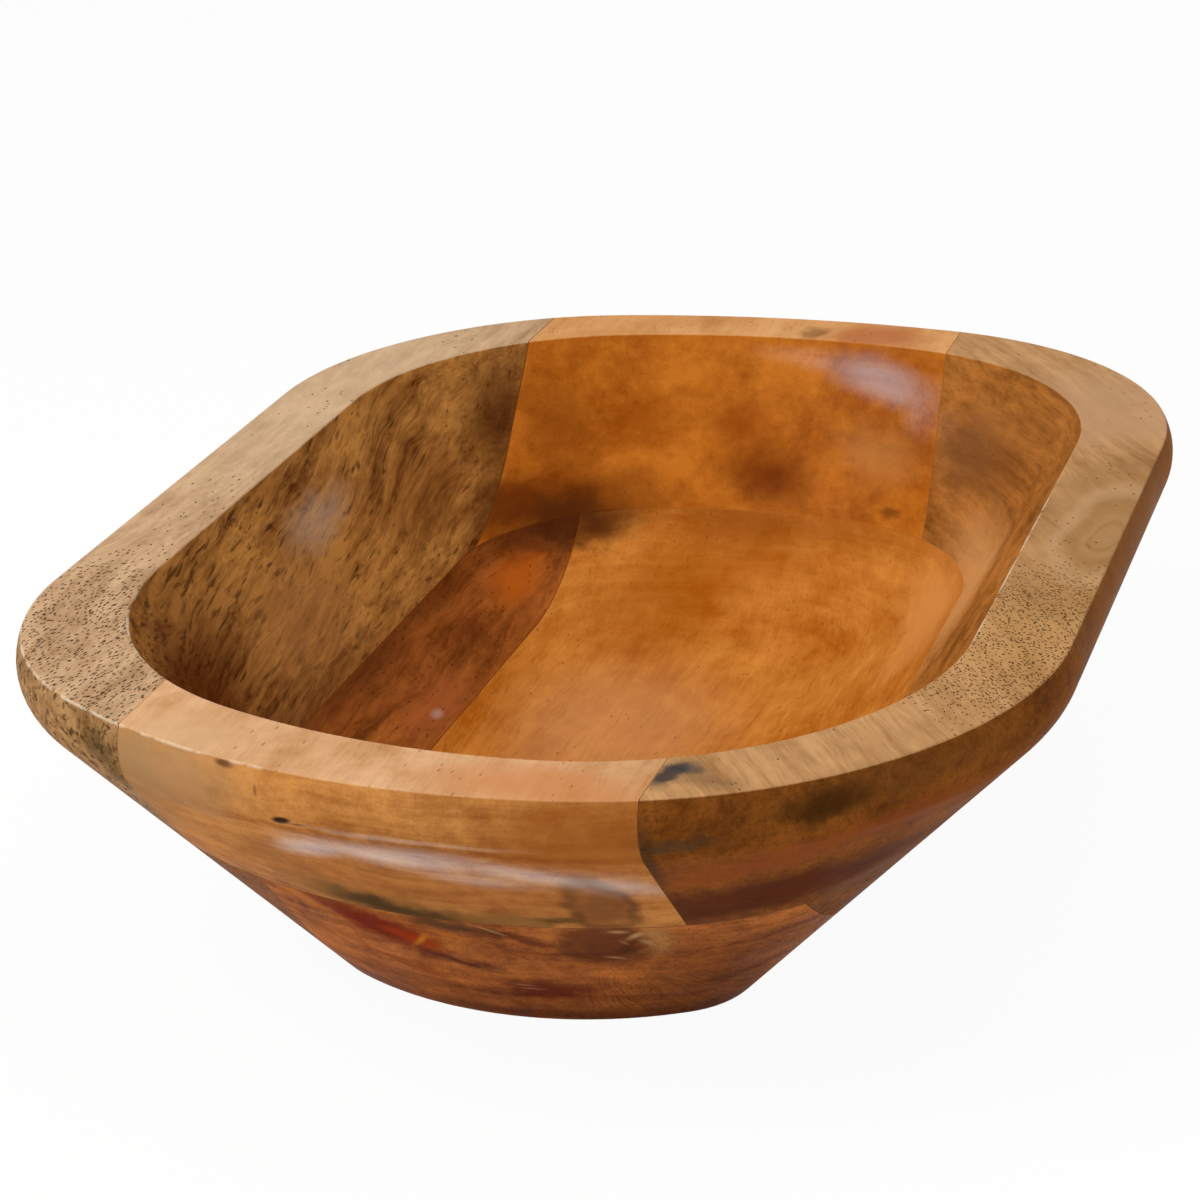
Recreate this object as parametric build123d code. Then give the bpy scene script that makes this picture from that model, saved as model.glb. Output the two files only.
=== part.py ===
from build123d import *
import os
from math import atan2, cos, degrees, radians, sin, sqrt, tan
from typing import NamedTuple

# Dough bowl carved from a glued-up hardwood block.
# Two layers of three boards each are edge-glued and stacked with staggered joints, like brickwork,
# and the block is then carved to a rounded, flaring bowl with a wide flat rim. The hollow cuts right
# through the middle board of the upper layer, which leaves a block at each end.
# Frame: +Z up, origin at the middle of the flat underside, X along the length with the front end at -X,
# +Y to the left. Millimetres.

# Boards of the block
lower_board_thickness = 40.0
upper_board_thickness = 40.0
upper_left_width = 50.0  # at the widest point of the rim
upper_right_width = 66.5
lower_left_width = 40.7  # at the top of the lower layer
lower_right_width = 17.2
glue_thickness = 0.2

# Outline of the bowl at its widest, just under the rim. Its ends are bowed, and the hand-carved front end is
# bowed more than the back end and a little off centre.
rim_width = 228.0
rim_front_reach = 155.5  # from the middle of the underside
rim_back_reach = 150.5
rim_front_radius = 160.0
rim_back_radius = 262.0
rim_front_offset = 8.0  # of the bow's centre, to the right
rim_front_left_corner = 75.0
rim_front_right_corner = 95.0
rim_back_corner = 82.5
bead_radius = 12.0  # rounded edge of the rim, seen in section
bead_drop = 6.0  # from the top face down to the widest point
bead_wall_angle = 41.0  # where the bead runs into the wall, from upright

# Outline of the flat underside
base_length = 193.0
base_width = 91.5
base_end_radius = 72.0
base_corner_radius = 18.5
base_edge_radius = 4.0

# Opening and hollow
rim_front_land = 18.4  # flat top of the rim at the ends and at the sides, before its edges are eased
rim_back_land = 16.5
rim_side_land = 20.5
opening_front_radius = 150.0
opening_back_radius = 178.0
opening_front_offset = 12.0
opening_front_left_corner = 74.0
opening_front_right_corner = 75.0
opening_back_corner = 66.5
end_wall_angle = 59.0  # inner wall at the ends and at the sides, from level
side_wall_angle = 57.7
floor_thickness = 15.0
floor_flat_length = 107.0  # level part of the floor, from which the walls sweep up
floor_flat_width = 13.0
outer_edge_radius = 0.5
inner_edge_radius = 0.8

# Heights that follow
top_of_lower = lower_board_thickness
bottom_of_upper = top_of_lower + glue_thickness
bowl_height = bottom_of_upper + upper_board_thickness
widest_height = bowl_height - bead_drop


def bead_inset(height):
    """How far the rounded rim edge stands in from its widest point at a height."""
    rise = height - widest_height
    return bead_radius - sqrt(bead_radius**2 - rise**2)


class End(NamedTuple):
    """One rounded end of an outline."""

    reach: float  # from the middle of the underside
    radius: float
    offset: float  # of the bow's centre, to the right
    left_corner: float
    right_corner: float


# Sizes of the rim that follow
wall_top_height = widest_height - bead_radius * sin(radians(bead_wall_angle))
top_inset = bead_inset(bowl_height)
opening_width = rim_width - 2 * (rim_side_land + top_inset)
opening_front_reach = rim_front_reach - rim_front_land - top_inset
opening_back_reach = rim_back_reach - rim_back_land - top_inset
cut_margin = 2.0  # how far cutting tools run past what they cut


def end_arcs(end, width, heading):
    """Corner, bow and corner of an end that points along +X or -X, anticlockwise and tangent to the sides."""
    bow_x = end.reach - end.radius
    left_y = width / 2 - end.left_corner
    right_y = end.right_corner - width / 2
    left_x = bow_x + sqrt((end.radius - end.left_corner) ** 2 - (left_y + end.offset) ** 2)
    right_x = bow_x + sqrt((end.radius - end.right_corner) ** 2 - (right_y + end.offset) ** 2)
    left_angle = degrees(atan2(left_y + end.offset, left_x - bow_x))
    right_angle = degrees(atan2(right_y + end.offset, right_x - bow_x))
    arcs = [
        (right_x, right_y, end.right_corner, -90, right_angle),
        (bow_x, -end.offset, end.radius, right_angle, left_angle),
        (left_x, left_y, end.left_corner, left_angle, 90),
    ]
    if heading < 0:
        arcs = [(-x, y, radius, 180 - stop, 180 - start) for x, y, radius, start, stop in reversed(arcs)]
    return [CenterArc((x, y), radius, start, stop - start) for x, y, radius, start, stop in arcs]


def outline(front, back, width, height):
    """Closed outline at a height: two bowed ends with round corners, and straight sides."""
    back_arcs = end_arcs(back, width, 1)
    front_arcs = end_arcs(front, width, -1)
    left_side = Line(back_arcs[-1] @ 1, front_arcs[0] @ 0)
    right_side = Line(front_arcs[-1] @ 1, back_arcs[0] @ 0)
    edges = [*back_arcs, left_side, *front_arcs, right_side]
    return Pos(0, 0, height) * Wire([edge.edge() for edge in edges])


def rim_outline(height):
    """Outline of the rounded rim edge at a height, parallel to the widest outline."""
    inset = bead_inset(height)
    front = End(
        rim_front_reach - inset,
        rim_front_radius - inset,
        rim_front_offset,
        rim_front_left_corner - inset,
        rim_front_right_corner - inset,
    )
    back_corner = rim_back_corner - inset
    back = End(rim_back_reach - inset, rim_back_radius - inset, 0, back_corner, back_corner)
    return outline(front, back, rim_width - 2 * inset, height)


def outer_form():
    """The bowl before hollowing: flat underside, straight flaring wall and rounded rim edge."""
    base_end = End(base_length / 2, base_end_radius, 0, base_corner_radius, base_corner_radius)
    underside = outline(base_end, base_end, base_width, 0)
    wall = Solid.make_loft([underside, rim_outline(wall_top_height)], ruled=True)
    bead_steps = 6
    step = (bowl_height - wall_top_height) / bead_steps
    levels = [wall_top_height + step * i for i in range(bead_steps + 1)]
    bead = Solid.make_loft([rim_outline(level) for level in levels])
    form = wall + bead
    foot_edges = form.faces().sort_by(Axis.Z)[0].edges()
    form = fillet(foot_edges, base_edge_radius)
    top_edges = form.faces().sort_by(Axis.Z)[-1].edges()
    return fillet(top_edges, outer_edge_radius)


def hollow_reach(height, opening, floor, wall_angle):
    """How far the hollow reaches from the middle at a height: a straight wall that sweeps into the floor."""
    slope = radians(wall_angle)
    wall_foot = opening - (bowl_height - floor_thickness) / tan(slope)
    blend_radius = (wall_foot - floor) / tan(slope / 2)
    blend_top = floor_thickness + blend_radius * (1 - cos(slope))
    if height > blend_top:
        return opening - (bowl_height - height) / tan(slope)
    rise = height - floor_thickness
    return floor + sqrt(2 * blend_radius * rise - rise**2)


def hollow():
    """The space carved out of the bowl, from above the rim to the level part of the floor."""
    # the sections crowd towards the floor, where the sweep turns level
    steps = 9
    depth = bowl_height + cut_margin - floor_thickness
    heights = [floor_thickness + depth * (1 - i / steps) ** 1.8 for i in range(steps + 1)]
    sections = []
    for height in heights:
        width = 2 * hollow_reach(height, opening_width / 2, floor_flat_width / 2, side_wall_angle)
        share = width / opening_width
        front = End(
            hollow_reach(height, opening_front_reach, floor_flat_length / 2, end_wall_angle),
            opening_front_radius * share,
            opening_front_offset * share,
            opening_front_left_corner * share,
            opening_front_right_corner * share,
        )
        back = End(
            hollow_reach(height, opening_back_reach, floor_flat_length / 2, end_wall_angle),
            opening_back_radius * share,
            0,
            opening_back_corner * share,
            opening_back_corner * share,
        )
        sections.append(outline(front, back, width, height))
    return Solid.make_loft(sections)


def bowl_form():
    """The carved bowl as one form, with the inner edge of the rim eased."""
    bowl = outer_form() - hollow()
    rim_face = bowl.faces().filter_by(Plane.XY).sort_by(Axis.Z)[-1]
    return fillet(rim_face.inner_wires()[0].edges(), inner_edge_radius)


def slab(x_from, x_to, y_from, y_to, z_from, z_to):
    """Box between two ends, two sides and two heights."""
    box = Box(x_to - x_from, y_to - y_from, z_to - z_from, align=(Align.MIN, Align.MIN, Align.MIN))
    return Pos(x_from, y_from, z_from) * box


def layer_half_width(height):
    """Half the width of the outer wall at a height below the rim edge."""
    wall_top_width = rim_width - 2 * bead_inset(wall_top_height)
    return (base_width + (wall_top_width - base_width) * height / wall_top_height) / 2


def pieces():
    """Every board and glue line, cut from the carved form."""
    far_x = max(rim_front_reach, rim_back_reach) + cut_margin
    far_y = rim_width / 2 + cut_margin
    far_z = bowl_height + cut_margin
    half_glue = glue_thickness / 2
    blanks = {}

    # lower layer: three boards side by side, each as long as the block
    left_joint = layer_half_width(top_of_lower) - lower_left_width
    right_joint = lower_right_width - layer_half_width(top_of_lower)
    rows = {
        "lower_left_board": (left_joint + half_glue, far_y),
        "lower_left_glue_line": (left_joint - half_glue, left_joint + half_glue),
        "lower_middle_board": (right_joint + half_glue, left_joint - half_glue),
        "lower_right_glue_line": (right_joint - half_glue, right_joint + half_glue),
        "lower_right_board": (-far_y, right_joint - half_glue),
    }
    for name, (y_from, y_to) in rows.items():
        blanks[name] = slab(-far_x, far_x, y_from, y_to, -cut_margin, top_of_lower)

    # glue between the layers
    blanks["layer_glue_line"] = slab(-far_x, far_x, -far_y, far_y, top_of_lower, bottom_of_upper)

    # upper layer: a board along each side, and the two end blocks with a glue line on either side
    left_joint = rim_width / 2 - upper_left_width
    right_joint = upper_right_width - rim_width / 2
    blanks["upper_left_board"] = slab(-far_x, far_x, left_joint + half_glue, far_y, bottom_of_upper, far_z)
    blanks["upper_right_board"] = slab(-far_x, far_x, -far_y, right_joint - half_glue, bottom_of_upper, far_z)
    for end, x_from, x_to in (("front", -far_x, 0), ("back", 0, far_x)):
        rows = {
            f"{end}_left_glue_line": (left_joint - half_glue, left_joint + half_glue),
            f"upper_{end}_block": (right_joint + half_glue, left_joint - half_glue),
            f"{end}_right_glue_line": (right_joint - half_glue, right_joint + half_glue),
        }
        for name, (y_from, y_to) in rows.items():
            blanks[name] = slab(x_from, x_to, y_from, y_to, bottom_of_upper, far_z)

    bowl = bowl_form()
    return {name: bowl & blank for name, blank in blanks.items()}


os.makedirs("parts", exist_ok=True)
for name, piece in pieces().items():
    export_step(Compound(piece.solids()), f"parts/{name}.step")
    print(f"{name}: {len(piece.solids())} solids, {piece.volume:.0f} mm3")
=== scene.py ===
import bpy
from math import radians
from mathutils import Matrix, Vector


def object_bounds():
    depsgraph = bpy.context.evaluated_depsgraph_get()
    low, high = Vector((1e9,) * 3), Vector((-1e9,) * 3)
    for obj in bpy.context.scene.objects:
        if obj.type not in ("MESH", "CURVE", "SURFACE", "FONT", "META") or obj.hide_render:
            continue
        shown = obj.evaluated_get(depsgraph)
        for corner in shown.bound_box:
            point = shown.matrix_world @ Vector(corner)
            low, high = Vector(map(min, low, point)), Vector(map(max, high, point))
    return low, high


# Looks of the dough bowl: seven boards of mango wood under a thin clear lacquer, and the glue between them.
# The boards keep their CAD shapes. Each gets a solid wood texture in real millimetres, so the grain runs
# along the board, shows as streaks on the faces along it and as dots and bands on the faces across it.
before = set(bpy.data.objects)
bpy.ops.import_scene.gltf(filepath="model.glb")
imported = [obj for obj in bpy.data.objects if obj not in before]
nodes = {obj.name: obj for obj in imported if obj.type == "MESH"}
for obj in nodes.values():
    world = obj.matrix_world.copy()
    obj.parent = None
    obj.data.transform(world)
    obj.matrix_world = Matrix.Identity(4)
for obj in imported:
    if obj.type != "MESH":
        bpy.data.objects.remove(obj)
cad_low, cad_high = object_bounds()
bpy.context.scene.view_settings.view_transform = "Standard"

MM = 0.001
RIM_TOP = cad_high[2] / MM  # millimetres above the underside

# The finish: between its pools the lacquer is thin and dull, and its specular level is close to none. The
# pools have a higher IOR than the 1.5 of a real lacquer, which makes them as bright as those in the photo.
DULL_LEVEL = 0.0035
THIN_COAT = 0.004
POOL_IOR = 2.2
POOL_ROUGHNESS = 0.12

# Values of the grain noise where a stroke of darker grain starts to show and where it has its full depth
STROKE_START = 0.50
STROKE_FULL = 0.68

# Settings that many nodes share
SOFT = {"interpolation_type": "SMOOTHSTEP"}
TINT = {"data_type": "RGBA"}
TEXTURE = {"vector_type": "TEXTURE"}
LINE = {"noise_dimensions": "1D"}
TIMES = {"operation": "MULTIPLY"}
PLUS = {"operation": "ADD"}
MINUS = {"operation": "SUBTRACT"}
LARGER = {"operation": "MAXIMUM"}
TIMES_PLUS = {"operation": "MULTIPLY_ADD"}

# Sockets of the Mix node for colours: the share, the colours under and over, and the result
SHARE, UNDER, OVER, MIXED = 0, 6, 7, 2
# Sockets of the Map Range node: the value, the range that it comes from and the range that it goes to
VALUE, LOW, HIGH, TO_LOW, TO_HIGH = 0, 1, 2, 3, 4


def colour(code):
    """Linear colour of an sRGB hex code such as #B87A3C."""
    values = []
    for start in (1, 3, 5):
        share = int(code[start:start + 2], 16) / 255
        values.append(share / 12.92 if share <= 0.04045 else ((share + 0.055) / 1.055) ** 2.4)
    return (*values, 1.0)


def add(tree, kind, settings=(), inputs=(), out=0):
    """Adds a node and gives back one of its outputs. Settings are its properties, inputs its values or the
    outputs that feed it, by the name or the number of the socket."""
    made = tree.nodes.new("ShaderNode" + kind)
    for key, value in dict(settings).items():
        setattr(made, key, value)
    for key, value in dict(inputs).items():
        if isinstance(value, bpy.types.NodeSocket):
            tree.links.new(value, made.inputs[key])
        else:
            made.inputs[key].default_value = value
    return made.outputs[out] if made.outputs else made


def blank_material(name):
    """An empty node material and its tree."""
    material = bpy.data.materials.new(name)
    material.use_nodes = True
    material.node_tree.nodes.clear()
    return material, material.node_tree


def place_in_bowl(tree):
    """The place of each point in the bowl, in millimetres from the middle of the underside."""
    metres = add(tree, "TexCoord", out="Object")
    return add(tree, "VectorMath", {"operation": "SCALE"}, {0: metres, "Scale": 1 / MM})


def sum_of(tree, *terms):
    """Sum of values, each with its weight."""
    total = 0.0
    for value, weight in terms:
        total = add(tree, "Math", TIMES_PLUS, {0: value, 1: weight, 2: total})
    return total


def cloud(tree, place, size, detail, rough, seed, out=0):
    """Smooth noise from 0 to 1 whose lumps measure size millimetres along X, Y and Z."""
    scale = tuple(1 / length for length in size)
    moved = add(tree, "VectorMath", TIMES_PLUS, {0: place, 1: scale, 2: seed})
    inputs = {"Vector": moved, "Scale": 1.0, "Detail": detail, "Roughness": rough}
    return add(tree, "TexNoise", {}, inputs, out)


def warp(tree, place, size, reach, detail, seed):
    """Places pushed about by up to about half of reach, in lumps of size millimetres."""
    push = cloud(tree, place, size, detail, 0.6, seed, "Color")
    push = add(tree, "VectorMath", MINUS, {0: push, 1: (0.5, 0.5, 0.5)})
    return add(tree, "VectorMath", TIMES_PLUS, {0: push, 1: (reach, reach, reach), 2: place})


def distance(tree, place, centre, size, tilt=0):
    """Distance from the centre of an oval lump, 1 at its surface. The centre and the half lengths are in
    millimetres, and a tilt in degrees about X lifts the end towards +Y."""
    inputs = {"Vector": place, "Location": centre, "Rotation": (radians(tilt), 0, 0), "Scale": size}
    moved = add(tree, "Mapping", TEXTURE, inputs)
    return add(tree, "VectorMath", {"operation": "LENGTH"}, {0: moved}, "Value")


def lay(tree, tone, code, value, low, high, strength):
    """Lays a colour over the tone as a value goes from low to high, at most at the strength given."""
    share = add(tree, "MapRange", SOFT, {VALUE: value, LOW: low, HIGH: high, TO_LOW: 0.0, TO_HIGH: strength})
    return add(tree, "Mix", TINT, {SHARE: share, UNDER: tone, OVER: colour(code)}, MIXED)


def blots(tree, tone, place, marks):
    """Lays stains, gum, specks and patches of painted sheen, highlight and shade over the tone. Each is an
    oval that fades from its core to its edge.
    """
    for centre, size, code, strength, core, *tilt in marks:
        tone = lay(tree, tone, code, distance(tree, place, centre, size, *tilt), 1.0, core, strength)
    return tone


def knot(tree, tone, place, centre, size, fill, fill_share, line, line_share, rings, ring_share):
    """Lays a knot or an eye over the tone: an oval fill, a line round it and uneven rings inside."""
    reach = distance(tree, place, centre, size)
    tone = lay(tree, tone, fill, reach, 1.0, 0.7, fill_share)
    line_place = 0.9
    line_reach = 0.28
    off_line = add(tree, "Math", MINUS, {0: reach, 1: line_place})
    off_line = add(tree, "Math", {"operation": "ABSOLUTE"}, {0: off_line})
    tone = lay(tree, tone, line, off_line, line_reach, 0.0, line_share)
    inputs = {"W": reach, "Scale": rings, "Detail": 1.0, "Roughness": 0.5}
    wave = add(tree, "TexNoise", LINE, inputs)
    within = add(tree, "MapRange", SOFT, {VALUE: reach, LOW: 1.0, HIGH: 0.8})
    wave = add(tree, "Math", TIMES, {0: wave, 1: within})
    return lay(tree, tone, line, wave, 0.42, 0.66, ring_share)


def rays(tree, tone, place, source, centre, size, code, strength):
    """Lays lines that fan out from a source, across the end of a board, over an oval part of the tone."""
    offset = add(tree, "VectorMath", MINUS, {0: place, 1: source})
    across = add(tree, "SeparateXYZ", {}, {0: offset}).node.outputs
    turn = add(tree, "Math", {"operation": "ARCTAN2"}, {0: across["Z"], 1: across["Y"]})
    lines_per_radian = 24.0
    wave = add(tree, "TexNoise", LINE, {"W": turn, "Scale": lines_per_radian, "Detail": 2.0})
    reach = distance(tree, place, centre, size)
    within = add(tree, "MapRange", SOFT, {VALUE: reach, LOW: 1.0, HIGH: 0.5})
    wave = add(tree, "Math", TIMES, {0: wave, 1: within})
    return lay(tree, tone, code, wave, 0.42, 0.64, strength)


def inner_side(tree, place):
    """1 on faces that look up and not away from the middle of the bowl, as its hollow and the flat of its
    rim do, and 0 outside."""
    normal = add(tree, "NewGeometry", out="Normal")
    level_per_100_mm = (0.01, 0.01, 0.0)
    from_middle = add(tree, "VectorMath", TIMES, {0: place, 1: level_per_100_mm})
    outward = add(tree, "VectorMath", {"operation": "DOT_PRODUCT"}, {0: normal, 1: from_middle}, "Value")
    upward = add(tree, "SeparateXYZ", {}, {0: normal}, "Z")
    inner = add(tree, "MapRange", SOFT, {VALUE: outward, LOW: 0.15, HIGH: 0.05})
    above = add(tree, "MapRange", SOFT, {VALUE: upward, LOW: 0.0, HIGH: 0.1})
    return add(tree, "Math", TIMES, {0: inner, 1: above})


def cut_pores(tree, place, grain, seed, look):
    """1 in the pores that carving has cut open and 0 beside them. Each cell of the pattern may hold one, and
    in some places most do. Real pores are too fine to show, so they are drawn about 0.4 mm wide."""
    turn = (0, 0, radians(look.get("pore_turn", 0)))
    cells = add(tree, "Mapping", TEXTURE, {"Vector": place, "Rotation": turn, "Scale": look["pore_cell"]})
    hole = add(tree, "TexVoronoi", {}, {"Vector": cells, "Scale": 1.0}, "Distance")
    chance = add(tree, "SeparateColor", {}, {0: hole.node.outputs["Color"]})
    crowd = cloud(tree, grain, (38, 15, 13), 1.0, 0.5, seed)
    few, many = look["pore_share"]
    crowd = add(tree, "MapRange", {}, {VALUE: crowd, LOW: 0.35, HIGH: 0.65, TO_LOW: few, TO_HIGH: many})
    for centre, size, more in look.get("porous", ()):
        reach = distance(tree, place, centre, size)
        zone = add(tree, "MapRange", SOFT, {VALUE: reach, LOW: 1.0, HIGH: 0.5, TO_LOW: 0.0, TO_HIGH: more})
        crowd = add(tree, "Math", PLUS, {0: crowd, 1: zone})
    kept = add(tree, "Math", {"operation": "LESS_THAN"}, {0: chance, 1: crowd})
    edge = 0.46  # of a cell, from the middle of the pore
    core = 0.20
    pore = add(tree, "MapRange", SOFT, {VALUE: hole, LOW: edge, HIGH: core})
    return add(tree, "Math", TIMES, {0: pore, 1: kept})


def painted_edge_highlight(tree, tone, place, height, seed, centre, size, strength):
    """Lays a painted highlight, a pale line, over the eased edge of the rim in an oval part."""
    edge = add(tree, "MapRange", SOFT, {VALUE: height, LOW: RIM_TOP - 0.7, HIGH: RIM_TOP - 0.4})
    off_top = add(tree, "MapRange", SOFT, {VALUE: height, LOW: RIM_TOP - 0.02, HIGH: RIM_TOP - 0.08})
    patchy = cloud(tree, place, (6, 6, 40), 3.0, 0.6, seed)
    patchy = add(tree, "MapRange", SOFT, {VALUE: patchy, LOW: 0.36, HIGH: 0.60})
    reach = distance(tree, place, centre, size)
    near = add(tree, "MapRange", SOFT, {VALUE: reach, LOW: 1.0, HIGH: 0.6})
    for share in (off_top, patchy, near):
        edge = add(tree, "Math", TIMES, {0: edge, 1: share})
    glint_colour = "#EBDCC4"
    return lay(tree, tone, glint_colour, edge, 0.0, 1.0, strength)


def lacquer_coat(tree, place, rings, pools):
    """Weight of the coat of lacquer: very thin all over, with pools that the growth rings make streaky."""
    coat = THIN_COAT
    streaky = add(tree, "MapRange", {}, {VALUE: rings, LOW: 0.40, HIGH: 0.56, TO_LOW: 0.8, TO_HIGH: 1.0})
    for centre, size, strength, *tilt in pools:
        reach = distance(tree, place, centre, size, *tilt)
        inputs = {VALUE: reach, LOW: 1.0, HIGH: 0.1, TO_LOW: 0.0, TO_HIGH: strength}
        pool = add(tree, "MapRange", SOFT, inputs)
        pool = add(tree, "Math", TIMES, {0: pool, 1: streaky})
        coat = add(tree, "Math", LARGER, {0: pool, 1: coat})
    return coat


def mango_board(name, look):
    """Mango wood, sawn, carved, sanded and lacquered: streaky brown with short dark pores along the grain,
    cloudy stains with some patches of painted sheen, highlight and shade, and hardly any real sheen except
    where the lacquer has pooled."""
    material, tree = blank_material(name)
    seed = look["seed"]
    second_seed = (seed[1], seed[2], seed[0])
    third_seed = (seed[2], seed[0], seed[1])
    place = place_in_bowl(tree)

    # the grain runs at a slant through the board, wanders along it and ripples every 15 mm or so
    pitch, yaw = look.get("slant", (0, 0))
    slant = (0, radians(pitch), radians(yaw))
    along = add(tree, "Mapping", TEXTURE, {"Vector": place, "Rotation": slant})
    grain = warp(tree, along, (90, 50, 50), look.get("wander", 14), 1.0, seed)
    grain = warp(tree, grain, (16, 8, 8), look.get("ripple", 3), 1.0, second_seed)
    gentle = warp(tree, place, (40, 30, 22), 7, 1.0, seed)
    wavy = warp(tree, gentle, (14, 9, 9), 6, 2.0, second_seed)
    ragged = warp(tree, gentle, (7, 7, 5), 7, 3.0, seed)

    # figure: streaks 3 mm wide, bands 12 mm wide, clouds 30 mm wide, fibres, growth rings that lie level in
    # the board and show as lines on its end, and mottling 5 mm wide; real fibres are too fine to show, so
    # they are drawn 0.5 mm wide
    streaks = cloud(tree, grain, (50, 2.8, 2.8), 3.0, 0.62, seed)
    bands = cloud(tree, grain, (110, 13, 9), 3.0, 0.55, second_seed)
    clouds = cloud(tree, place, (34, 26, 20), 4.0, 0.62, seed)
    fibres = cloud(tree, grain, (9, 0.55, 0.55), 1.0, 0.6, seed)
    rings = cloud(tree, gentle, (70, 50, 2.4), 4.0, 0.66, third_seed)
    mottling = cloud(tree, place, (7, 5, 4), 3.0, 0.65, second_seed)
    weights = look.get("figure", (0.28, 0.22, 0.24, 0.10, 0.08, 0.10))
    figure = sum_of(tree, *zip((streaks, bands, clouds, fibres, rings, mottling), weights))
    shade = add(tree, "MapRange", {}, {VALUE: figure, LOW: 0.41, HIGH: 0.59})

    # the figure has two colours outside, where the faces look out and down, two inside, where they look up
    # and not away from the middle, and two on the flat of the rim
    sides = {}
    for side in ("outside", "inside", "rim"):
        if side in look:
            dark, pale = look[side]
            inputs = {SHARE: shade, UNDER: colour(dark), OVER: colour(pale)}
            sides[side] = add(tree, "Mix", TINT, inputs, MIXED)
    inner = inner_side(tree, place)
    tone = add(tree, "Mix", TINT, {SHARE: inner, UNDER: sides["outside"], OVER: sides["inside"]}, MIXED)

    # short strokes of darker grain, which thin out towards the back
    axes = add(tree, "SeparateXYZ", {}, {0: place}).node.outputs
    stroke_size, wall_depth, rim_depth = look.get("strokes", ((14, 0.9, 0.9), 0.35, 0.12))
    strokes = cloud(tree, grain, stroke_size, 2.0, 0.6, third_seed)
    thin_from = -50.0
    thin_to = 90.0
    inputs = {VALUE: axes["X"], LOW: thin_from, HIGH: thin_to, TO_LOW: 0.0, TO_HIGH: 0.09}
    fading = add(tree, "MapRange", {}, inputs)
    strokes = add(tree, "Math", MINUS, {0: strokes, 1: fading})
    tone = lay(tree, tone, look["pores"], strokes, STROKE_START, STROKE_FULL, wall_depth)

    # ragged stains that belong to this board, some of them painted sheen, highlight and shade, then the
    # marks that only its outside shows: rays, knots, ragged patches of gum, and specks with clean edges
    tone = blots(tree, tone, ragged, look.get("stains", ()))
    marked = tone
    for mark in look.get("rays", ()):
        marked = rays(tree, marked, wavy, *mark)
    for mark in look.get("knots", ()):
        marked = knot(tree, marked, wavy, *mark)
    marked = blots(tree, marked, ragged, look.get("gum", ()))
    marked = blots(tree, marked, gentle, look.get("specks", ()))
    tone = add(tree, "Mix", TINT, {SHARE: inner, UNDER: marked, OVER: tone}, MIXED)

    # the flat of the rim is paler, and has stains, patches of painted sheen and eyes of its own
    height = axes["Z"]
    if "rim" in look:
        flat = lay(tree, sides["rim"], look["pores"], strokes, STROKE_START, STROKE_FULL, rim_depth)
        flat = blots(tree, flat, ragged, look.get("rim_stains", ()))
        for mark in look.get("rim_eyes", ()):
            flat = knot(tree, flat, wavy, *mark)
        top = add(tree, "MapRange", SOFT, {VALUE: height, LOW: RIM_TOP - 0.4, HIGH: RIM_TOP - 0.1})
        tone = add(tree, "Mix", TINT, {SHARE: top, UNDER: tone, OVER: flat}, MIXED)

    # the lacquer has filled most pores on the walls
    pore = cut_pores(tree, gentle, grain, third_seed, look)
    if "rim" in look:
        open_share = add(tree, "MapRange", {}, {VALUE: top, TO_LOW: 0.3, TO_HIGH: 1.0})
        pore = add(tree, "Math", TIMES, {0: pore, 1: open_share})
    tone = lay(tree, tone, look["pores"], pore, 0.0, 1.0, look["pore_depth"])
    # painted highlight: a pale line along the eased edge of the rim
    if "worn" in look:
        tone = painted_edge_highlight(tree, tone, place, height, seed, *look["worn"])

    # the surface is duller in the pores, and hand sanding has left low swells and ridges of hard grain,
    # whose heights are in millimetres
    rough = sum_of(tree, (streaks, 0.24), (pore, 0.25), (clouds, 0.6))
    swell = cloud(tree, place, (18, 15, 8), 1.0, 0.4, seed)
    relief = sum_of(tree, (swell, 0.30), (streaks, 0.12), (rings, 0.10), (fibres, 0.02), (pore, -0.08))
    bump = add(tree, "Bump", {}, {"Strength": 1.0, "Distance": MM, "Height": relief})
    coat = lacquer_coat(tree, gentle, rings, look.get("gloss", ()))
    inputs = {
        "Base Color": tone, "Roughness": rough, "IOR": 1.5, "Specular IOR Level": DULL_LEVEL, "Normal": bump,
        "Coat Weight": coat, "Coat Roughness": look.get("coat_rough", POOL_ROUGHNESS),
        "Coat IOR": POOL_IOR, "Coat Normal": bump,
    }
    add(tree, "OutputMaterial", {}, {"Surface": add(tree, "BsdfPrincipled", {}, inputs)})
    return material


def glue_line(name, inside, outside, *stains):
    """Wood glue, dried, sanded flush and lacquered with the wood: a thin dull line, about as dark as the
    wood beside it."""
    material, tree = blank_material(name)
    place = place_in_bowl(tree)
    inner = inner_side(tree, place)
    tone = add(tree, "Mix", TINT, {SHARE: inner, UNDER: colour(outside), OVER: colour(inside)}, MIXED)
    tone = blots(tree, tone, place, stains)
    inputs = {"Base Color": tone, "Roughness": 0.5, "IOR": 1.47, "Specular IOR Level": DULL_LEVEL}
    add(tree, "OutputMaterial", {}, {"Surface": add(tree, "BsdfPrincipled", {}, inputs)})
    return material


# Dark blot where the back block, the floor and the lower left board meet
BLACK_SPOT = [
    ((96, 44, 42), (30, 36, 12), "#6A3008", 0.7, 0.2),
    ((94.5, 46.5, 38.8), (20, 22, 8.5), "#381806", 0.72, 0.3),
]
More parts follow.
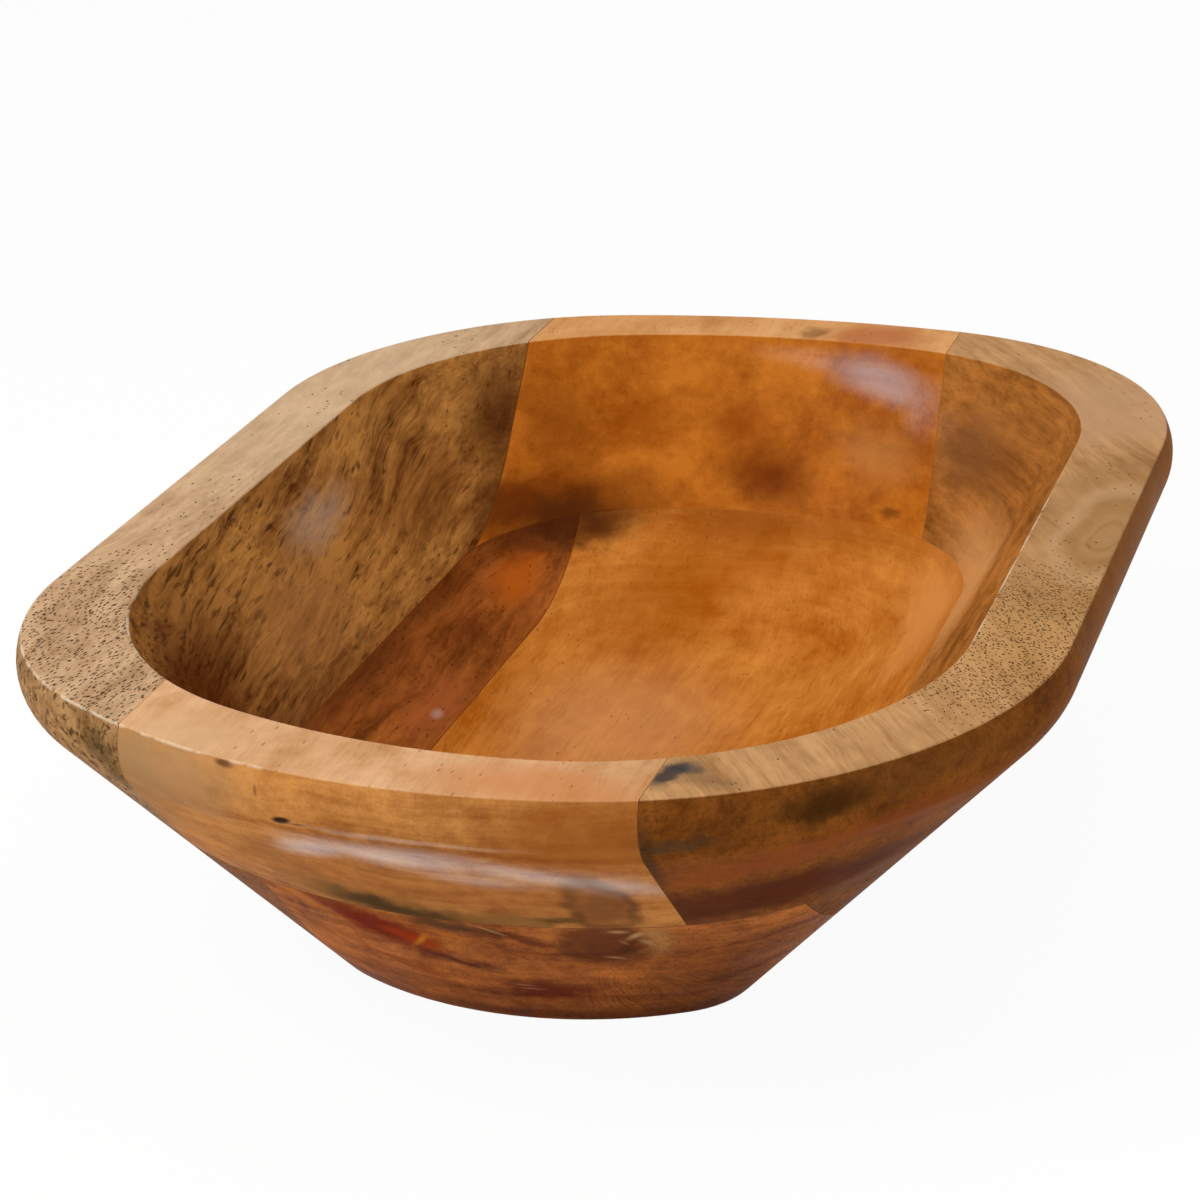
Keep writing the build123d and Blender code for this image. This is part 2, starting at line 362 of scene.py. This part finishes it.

# One look per board, in millimetres and degrees. An oval is a centre and half lengths.
# seed: shifts the noise, and is the same for boards from one plank
# slant: pitch and yaw of the grain
# wander, ripple: how far the grain strays in long and in short waves
# figure: weights of streaks, bands, clouds, fibres, growth rings and mottling
# rim, outside, inside: the dark and the pale colour of the figure on that side
# pores, pore_depth: the colour of pores and strokes, and its strength in the pores
# pore_cell, pore_turn: size and yaw of the cells that may hold a pore each
# pore_share: share of cells with a pore where they are fewest and where they crowd, with none below 0
# porous: oval that is more porous, and the share that it adds
# strokes: size of a stroke, and its strength on the walls and on the rim
# stains, rim_stains, gum, specks: oval, colour, strength, share of its size at full strength, tilt if any;
# the stains hold some painted sheen, highlight and shade, the rim stains some painted sheen
# rays: source, oval, colour, strength
# knots, rim_eyes: oval, fill and its strength, line and its strength, scale of the rings and their strength
# worn: oval where the eased edge carries a painted highlight, a pale line, and its strength
# gloss: oval of pooled lacquer, its strength, tilt if any
# coat_rough: roughness of the pools if it differs from POOL_ROUGHNESS
BOARDS = {
    # porous board: grey-tan rim, olive-brown outside and streaky dark brown inside
    "upper_left_board": {
        "seed": (3.1, 7.4, 1.9), "slant": (-11, 0), "figure": (0.34, 0.22, 0.20, 0.12, 0.04, 0.12),
        "rim": ("#9E7854", "#CEAA84"), "outside": ("#74522C", "#B48A5C"), "inside": ("#5E2E08", "#C68A44"),
        "pores": "#38200E", "pore_cell": (1.8, 0.62, 0.62), "pore_turn": -8,
        "pore_share": (-0.1, 0.1), "pore_depth": 0.95,
        "strokes": ((14, 1.2, 1.2), 0.78, 0.05),
        "porous": [((-118, 86, 80), (90, 55, 12), 0.9)],
        "stains": [
            ((-136, 69, 74), (14, 6, 6), "#46361E", 0.6, 0.3),
            ((-138, 66, 67), (14, 4, 9), "#5A4424", 0.5, 0.3),
            ((106, 68, 60), (30, 16, 30), "#52290A", 0.85, 0.2),
            ((86, 64, 46), (24, 10, 9), "#4E2208", 0.75, 0.2),
            # painted sheen: a pale grey patch on the inner left wall, for the room mirrored there
            ((14, 83, 66), (26, 8, 9), "#B89A80", 0.6, 0.2),
            ((-85, 76, 58), (50, 24, 28), "#4E1A00", 0.85, 0.2),
            ((-60, 84, 68), (40, 16, 16), "#5A2A06", 0.35, 0.1),
            ((-18, 74, 55), (40, 18, 18), "#B47C44", 0.6, 0.2),
            ((64, 74, 58), (40, 16, 16), "#7A4618", 0.35, 0.2),
            ((-30, 66, 41), (90, 10, 8), "#643410", 0.6, 0.1),
        ],
        # painted sheen: paler towards the far end of the rim flat, where it mirrors the white surroundings
        "rim_stains": [((70, 100, 80), (110, 50, 10), "#D8BA98", 0.45, 0.2)],
        "worn": ((-120, 90, 80), (60, 60, 20), 0.5),
    },
    # brown board: olive and red-brown bands outside, pores and an eye in the figure of the rim
    "upper_right_board": {
        "seed": (11.3, 2.2, 5.7), "slant": (0, 32),
        "rim": ("#A07244", "#D0A06E"), "outside": ("#62340F", "#94561F"), "inside": ("#7A4718", "#BE7A38"),
        "pores": "#44280F", "pore_cell": (1.3, 0.46, 0.46), "pore_turn": 40,
        "pore_share": (-0.06, 0.04), "pore_depth": 0.95,
        "porous": [((-58, -102, 80), (52, 34, 16), 0.9)],
        "stains": [
            ((-120, -92, 76), (44, 44, 6), "#724820", 0.4, 0.2),
            ((-133, -79, 75), (18, 12, 5), "#362008", 0.75, 0.2),
            ((-147, -54, 70.5), (12, 14, 1.8), "#4A3C2C", 0.65, 0.2),
            ((-128, -78, 63.5), (70, 64, 6.5), "#8A461E", 0.75, 0.1, -9),
            ((-120, -64, 48.5), (70, 50, 9), "#501E04", 0.85, 0.3, -5),
            # painted sheen: paler along the far part of the right outside, for a grazing reflection
            ((20, -114, 75), (120, 8, 12), "#96602A", 0.5, 0.2),
            ((106, -58, 60), (20, 16, 18), "#7A4E2C", 0.7, 0.2),
            ((60, -70, 42), (70, 24, 18), "#E0A466", 0.7, 0.1),
            ((94, -68, 60), (18, 14, 12), "#7A4A22", 0.5, 0.1),
            ((-23, -82, 63), (24, 5, 9), "#6A4018", 0.7, 0.2),
        ],
        "rim_stains": [
            ((-137, -50, 80), (9, 4.5, 5), "#2A2E34", 0.9, 0.35),
            ((-134, -53, 80), (4, 6, 4), "#34383C", 0.7, 0.2),
            ((-138, -58, 80), (4, 10, 4), "#7E6044", 0.6, 0.2),
            ((-55, -102, 80), (44, 34, 10), "#C6965C", 0.5, 0.2),
            # painted sheen: paler far end of the right rim flat, for the white surroundings mirrored there
            ((90, -96, 80), (40, 40, 10), "#C49A74", 0.6, 0.3),
        ],
        "specks": [((-145, -47.5, 66), (25, 3, 16), "#2A281E", 0.6, 0.2)],
        "rim_eyes": [
            ((2, -109, 80), (50, 21, 60), "#A87C4C", 0.4, "#8C6438", 0.3, 3.0, 0.25),
            ((4, -109, 80), (30, 11.5, 40), "#946A38", 0.5, "#D0AA7E", 0.4, 4.0, 0.2),
        ],
        "worn": ((-20, -88, 80), (90, 9, 20), 0.5),
        "gloss": [((114, -49, 64.5), (14, 7, 8), 0.10)],
    },
    # smooth orange-tan block, with a pin knot, level bands and pooled lacquer across its end
    "upper_front_block": {
        "seed": (21.9, 14.6, 8.2), "wander": 9, "figure": (0.08, 0.16, 0.30, 0.06, 0.26, 0.18),
        "rim": ("#B27C48", "#DEAE82"), "outside": ("#8E4E1E", "#CE8E4C"), "inside": ("#96581E", "#C07E3C"),
        "pores": "#6A3E1C", "pore_cell": (2.4, 0.62, 0.62), "pore_share": (0.0, 0.05), "pore_depth": 0.45,
        "strokes": ((10, 0.9, 0.9), 0.12, 0.10),
        "stains": [
            ((-142, 50, 74), (26, 30, 13), "#B48A5E", 0.8, 0.2),
            ((-138, 62, 74), (26, 14, 16), "#A08058", 0.6, 0.1),
            ((-134, 62, 58), (24, 17, 14), "#AC7E4C", 0.55, 0.2),
            ((-136, -4, 52), (30, 66, 9), "#96521E", 0.4, 0.2),
            ((-146, -38, 72), (24, 30, 13), "#9C541A", 0.7, 0.3),
            # painted shade: a darker line along the crease where the bead meets the wall
            ((-152, 0, 67), (16, 64, 2.0), "#8A4A18", 0.5, 0.3),
            ((-131, 16, 45), (18, 32, 7), "#6E4E20", 0.65, 0.2, 4),
            ((-131, 14, 44.5), (18, 13, 4.6), "#402A0E", 0.85, 0.2, 10),
            ((-130, 3, 41.5), (18, 15, 5), "#402A0E", 0.85, 0.2),
            ((-131, -14, 42.5), (18, 16, 4.5), "#7E5A2A", 0.75, 0.2),
            ((-130.5, -23, 42), (18, 8, 3.4), "#4E3216", 0.75, 0.2),
            ((-136, 36, 57), (24, 12, 8), "#8E5826", 0.4, 0.2),
            ((-135, -33.5, 48.5), (60, 8, 12), "#74441F", 0.6, 0.5, 22),
            ((-137, -34, 51.5), (60, 2.6, 4.5), "#8E5C34", 0.6, 0.0, 22),
        ],
        "knots": [((-135, -33.5, 48.5), (60, 7.6, 12), "#7E4C28", 0.2, "#472612", 0.5, 2.0, 0.12)],
        "rim_stains": [
            ((-147, -28, 80), (14, 34, 6), "#CC8450", 0.7, 0.2),
            ((-138, 50, 80), (18, 28, 6), "#DCB48A", 0.5, 0.2),
        ],
        "specks": [
            ((-151.5, 23.5, 69.7), (5, 2.7, 1.3), "#24120C", 0.95, 0.4, -8),
            ((-151, 20.5, 69.0), (5, 2.5, 0.5), "#5A321A", 0.7, 0.2),
            ((-148, 35.5, 79.4), (4, 3.5, 1.0), "#4A3020", 0.8, 0.3),
            ((-151, 28, 75.9), (4, 0.7, 1.8), "#7A4C2A", 0.7, 0.3),
        ],
        "worn": ((-140, 50, 80), (30, 34, 20), 0.4),
        "gloss": [
            ((-150, 2, 63.4), (26, 32, 5.6), 1.0),
            ((-144, 20, 61.0), (24, 15, 4.6), 1.0, -11),
            ((-146, -24, 61.0), (24, 23, 4.6), 0.85, 12),
            ((-140, -40, 57.6), (20, 17, 4.4), 0.75, 20),
            ((-142, -37, 58.5), (20, 20, 7), 0.4, 20),
            ((-145, -13, 58.4), (24, 18, 4), 0.5, 8),
            ((-154, -2, 69), (26, 32, 1.1), 0.7),
        ],
    },
    # deep orange block, from the same plank as the floor
    "upper_back_block": {
        "seed": (52.4, 33.8, 12.1), "wander": 12, "figure": (0.12, 0.22, 0.40, 0.08, 0.06, 0.14),
        "rim": ("#C28246", "#E2A86E"), "outside": ("#8A5426", "#B47C44"), "inside": ("#984E0C", "#CC7A26"),
        "pores": "#5E3412", "pore_cell": (2.4, 0.62, 0.62), "pore_share": (0.0, 0.08), "pore_depth": 0.35,
        "strokes": ((14, 0.9, 0.9), 0.12, 0.06),
        "stains": [
            ((117, 8, 60), (18, 13, 8), "#8A3C04", 0.6, 0.1),
            ((110, -2, 49), (20, 18, 12), "#6A2800", 0.85, 0.1),
            ((117, 34, 60), (16, 14, 10), "#A0520C", 0.5, 0.2),
            ((84, 61, 44), (22, 13, 10), "#5A2406", 0.8, 0.2),
            ((109, 54, 58), (16, 14, 20), "#8A460C", 0.6, 0.2),
            ((114, -32, 56), (20, 20, 10), "#C08448", 0.5, 0.1),
            # painted highlight: a lilac tint under the pooled lacquer near the top of the back wall, the
            # colour of its reflection
            ((124, -30, 72), (16, 24, 7), "#8C6262", 0.7, 0.1, 10),
            ((104.7, -36.5, 43.8), (5, 4, 3), "#6A3812", 0.7, 0.2),
            *BLACK_SPOT,
        ],
        "rim_stains": [
            ((136, -26, 80), (14, 20, 6), "#B8683A", 0.75, 0.3),
            ((139, -9, 80), (7, 5, 4), "#6A3414", 0.6, 0.3),
        ],
        "gloss": [
            ((129, -9, 75.2), (14, 21, 3.8), 0.11, 8),
            ((124, -31, 71.4), (16, 26, 7.2), 0.17, 12),
            ((118, -45, 67), (14, 12, 10), 0.17, 30),
        ],
        "coat_rough": 0.28,
    },
    # red-brown heartwood
    "lower_left_board": {
        "seed": (41.7, 25.3, 2.6), "ripple": 5,
        "outside": ("#6A3E1C", "#9A643A"), "inside": ("#66300A", "#B0642A"),
        "pores": "#361A0A", "pore_cell": (2.4, 0.62, 0.62), "pore_share": (0.0, 0.2), "pore_depth": 0.4,
        "strokes": ((24, 2.4, 2.4), 0.35, 0.0),
        "stains": [
            ((-4, 49, 27), (28, 9, 8), "#A85A2C", 0.7, 0.2),
            ((70, 53, 32), (20, 9, 9), "#BC5E16", 0.8, 0.2),
            ((34, 54, 31), (18, 8, 8), "#5E2C0C", 0.5, 0.2),
            ((-10, 65, 39.5), (120, 11, 8), "#5A2C0C", 0.65, 0.1),
            ((88, 58, 39), (30, 14, 8), "#562808", 0.75, 0.2),
            *BLACK_SPOT,
        ],
        "gloss": [((-5.8, 47.6, 26.4), (4.6, 2.4, 2.4), 1.0)],
    },
    # orange floor, red-brown outside, with red gum, dark streaks and the lower half of the knot
    "lower_middle_board": {
        "seed": (52.4, 33.8, 12.1), "wander": 12, "figure": (0.12, 0.18, 0.28, 0.08, 0.22, 0.12),
        "outside": ("#6E310E", "#D08040"), "inside": ("#A8590E", "#D68C3C"),
        "pores": "#5A300C", "pore_cell": (2.4, 0.62, 0.62), "pore_share": (0.0, 0.03), "pore_depth": 0.4,
        "strokes": ((14, 0.9, 0.9), 0.25, 0.0),
        "porous": [((-105, -50, 25), (40, 30, 22), 0.5)],
        "stains": [
            ((104, 2, 38), (26, 28, 9), "#823C04", 0.65, 0.1),
            ((98, 4, 31), (26, 34, 12), "#A85A10", 0.5, 0.2),
            ((100, -30, 38), (26, 36, 7), "#A8621C", 0.5, 0.2),
            ((80, 20, 22), (30, 26, 14), "#A0560A", 0.5, 0.2),
            # painted sheen: a paler patch on the near part of the floor of the hollow
            ((16, 12, 16), (60, 40, 14), "#CE9466", 0.4, 0.2),
            ((60, -56, 34), (48, 18, 12), "#DC9650", 0.7, 0.2),
            *BLACK_SPOT,
            ((-126, 2, 37.5), (40, 14, 4.6), "#4A3014", 0.8, 0.2),
            ((-124, -10, 36), (40, 12, 3), "#5E2A10", 0.85, 0.2, 8),
            ((-115, 4, 23), (40, 15, 2.8), "#46180A", 0.8, 0.2, 12),
            ((-106, -14, 13), (40, 14, 5.4), "#661A00", 0.85, 0.1),
            ((-105, -10, 16), (40, 20, 2.5), "#6E2E10", 0.5, 0.2, 6),
            ((-108, 16, 18), (40, 14, 2.5), "#8A3C10", 0.5, 0.3, 12),
            ((-100, -20, 2), (60, 60, 6), "#5A2208", 0.5, 0.2),
            ((-106, -48, 22), (50, 24, 24), "#70380C", 0.35, 0.1),
            ((-118, -40, 35), (60, 5, 8), "#B4844C", 0.8, 0.1),
            ((-120.5, -28.5, 33.5), (60, 11, 10.5), "#5E2E14", 0.75, 0.5),
            ((-118.5, -33.5, 32), (60, 4.5, 3.5), "#42200E", 0.7, 0.1),
        ],
        "rays": [((-118, -29, 32), (-100, -38, 12), (60, 34, 15), "#5A2A10", 0.4)],
        "knots": [((-121, -29.8, 33.5), (60, 9.2, 9.5), "#5A2C12", 0.1, "#4A2410", 0.3, 2.0, 0.2)],
        "gum": [
            ((-126, 26, 37.6), (40, 15, 4.8), "#7A3410", 0.85, 0.2, 26),
            ((-121, 17, 31.6), (40, 16, 8.4), "#721C00", 0.95, 0.3, 30),
            ((-119.5, 12, 28.8), (40, 9, 3.6), "#A43800", 0.8, 0.1, 30),
        ],
        "specks": [
            ((-119.4, 10.2, 28.6), (40, 6.2, 1.1), "#C87C24", 0.9, 0.0, -48),
            ((-122.5, 2.5, 32.2), (40, 6.5, 1.3), "#BC6A1C", 0.9, 0.0, 10),
            ((-120, 7, 30.2), (40, 3.5, 1.0), "#B4601A", 0.8, 0.0, -15),
            ((-127, -6, 38.4), (40, 4, 0.6), "#B8946A", 0.5, 0.2, 20),
            ((-126, -8, 37), (40, 3.5, 0.5), "#B8946A", 0.5, 0.2, 20),
            ((-123.5, -32.5, 38), (60, 3.2, 0.9), "#B89468", 0.8, 0.0, 15),
            ((-121.5, -35.8, 36), (60, 3.2, 1.2), "#C09A64", 0.85, 0.0, -20),
            ((-120, -33, 34.4), (60, 2, 0.7), "#9A7048", 0.7, 0.0, 40),
            ((-119, -38, 33.6), (60, 2.8, 1.1), "#B48A5C", 0.8, 0.0, 30),
            ((-115.5, -31, 28.4), (60, 3.8, 0.7), "#B08860", 0.75, 0.0, 12),
            ((-108, -9, 15.5), (60, 4, 0.5), "#B88A60", 0.5, 0.2, 8),
            ((-107, -10.5, 13.8), (60, 4, 0.5), "#B88A60", 0.5, 0.2, 8),
        ],
    },
    # brown sliver of the lower right slope
    "lower_right_board": {
        "seed": (63.2, 9.9, 27.4),
        "outside": ("#603410", "#945A26"), "inside": ("#8A5222", "#AE7038"),
        "pores": "#26150A", "pore_cell": (2.4, 0.62, 0.62), "pore_share": (0.1, 0.5), "pore_depth": 0.5,
    },
}

# Colours of each glue line inside and outside, and stains that run on over it
GLUE = {
    "front_left_glue_line": ("#B08050", "#8A6238"),
    "front_right_glue_line": ("#8A6242", "#664422"),
    "back_left_glue_line": ("#6A3A10", "#8A5A30"),
    "back_right_glue_line": ("#9C602A", "#7A4C24"),
    "lower_left_glue_line": ("#7A3E10", "#7A4A26"),
    "lower_right_glue_line": ("#B07034", "#6A4022"),
    "layer_glue_line": (
        "#AE6822", "#5E4A34", *BLACK_SPOT,
        ((60, -66, 40), (60, 24, 14), "#CC8844", 0.8, 0.2),
        ((0, 66, 40), (150, 18, 8), "#62340E", 0.9, 0.5),
    ),
}
for node, look in BOARDS.items():
    nodes[node].data.materials.clear()
    nodes[node].data.materials.append(mango_board(node + "_mango_wood", look))
for node, look in GLUE.items():
    nodes[node].data.materials.clear()
    nodes[node].data.materials.append(glue_line(node + "_dried_glue", *look))


def seen_rays(tree):
    """1 for rays from the camera and for those that glossy or clear surfaces send on, and 0 for light."""
    outputs = add(tree, "LightPath").node.outputs
    seen = outputs["Is Camera Ray"]
    for kind in ("Is Glossy Ray", "Is Transmission Ray"):
        seen = add(tree, "Math", LARGER, {0: seen, 1: outputs[kind]})
    return seen


def floor():
    """Plain matt white floor under the bowl, almost white to the eye, which keeps a faint shadow."""
    half = 4.0  # metres
    corners = [(-half, -half, 0), (half, -half, 0), (half, half, 0), (-half, half, 0)]
    mesh = bpy.data.meshes.new("floor")
    mesh.from_pydata(corners, [], [(0, 1, 2, 3)])
    made = bpy.data.objects.new("floor", mesh)
    bpy.context.scene.collection.objects.link(made)
    material, tree = blank_material("matt_white_floor")
    inputs = {"Base Color": colour("#FAF6F2"), "Roughness": 0.8, "Specular IOR Level": 0.2}
    matt = add(tree, "BsdfPrincipled", {}, inputs)
    white = add(tree, "Emission", {}, {"Color": colour("#FFFFFF"), "Strength": 1.0})
    white_share = 0.95
    share = add(tree, "Math", TIMES, {0: seen_rays(tree), 1: white_share})
    shader = add(tree, "MixShader", {}, {0: share, 1: matt, 2: white})
    add(tree, "OutputMaterial", {}, {"Surface": shader})
    mesh.materials.append(material)


def soft_light(name, place, target, width, height, power, tone="#FFFFFF"):
    """Rectangular studio light that faces a point."""
    lamp = bpy.data.lights.new(name, "AREA")
    lamp.shape = "RECTANGLE"
    lamp.size = width
    lamp.size_y = height
    lamp.energy = power
    lamp.color = colour(tone)[:3]
    made = bpy.data.objects.new(name, lamp)
    made.location = place
    made.rotation_euler = (Vector(target) - Vector(place)).to_track_quat("-Z", "Y").to_euler()
    made.visible_camera = False
    bpy.context.scene.collection.objects.link(made)


def surroundings():
    """Even white surroundings, full white to the eye and softer as light."""
    world = bpy.data.worlds.new("white_room")
    bpy.context.scene.world = world
    world.use_nodes = True
    tree = world.node_tree
    tree.nodes.clear()
    as_light = 0.4
    to_the_eye = 1.0
    inputs = {VALUE: seen_rays(tree), TO_LOW: as_light, TO_HIGH: to_the_eye}
    strength = add(tree, "MapRange", {}, inputs)
    shader = add(tree, "Background", {}, {"Color": colour("#FFFFFF"), "Strength": strength})
    add(tree, "OutputWorld", {}, {"Surface": shader})


def camera():
    """Camera at the photograph's place: its own right, up and back directions as columns."""
    lens = bpy.data.cameras.new("photo_camera")
    lens.lens = 97.8
    lens.sensor_width = 36.0
    lens.shift_x = 0.0033
    made = bpy.data.objects.new("photo_camera", lens)
    right = Vector((0.30160, -0.95237, -0.04502))
    up = Vector((0.36781, 0.07265, 0.92706))
    back = Vector((-0.87963, -0.29616, 0.37221))
    turn = Matrix((right, up, back)).transposed().to_4x4()
    place = Matrix.Translation((-0.66779, -0.21583, 0.33925))
    made.matrix_world = place @ turn
    bpy.context.scene.collection.objects.link(made)
    bpy.context.scene.camera = made


floor()
surroundings()
middle = (0.0, 0.0, 0.04)
soft_light("window_light", (-0.55, 0.55, 0.9), middle, width=0.5, height=0.45, power=7.5, tone="#FFFAF4")
soft_light("ceiling_light", (0.1, -0.5, 1.3), middle, width=1.2, height=1.2, power=5.0)
camera()
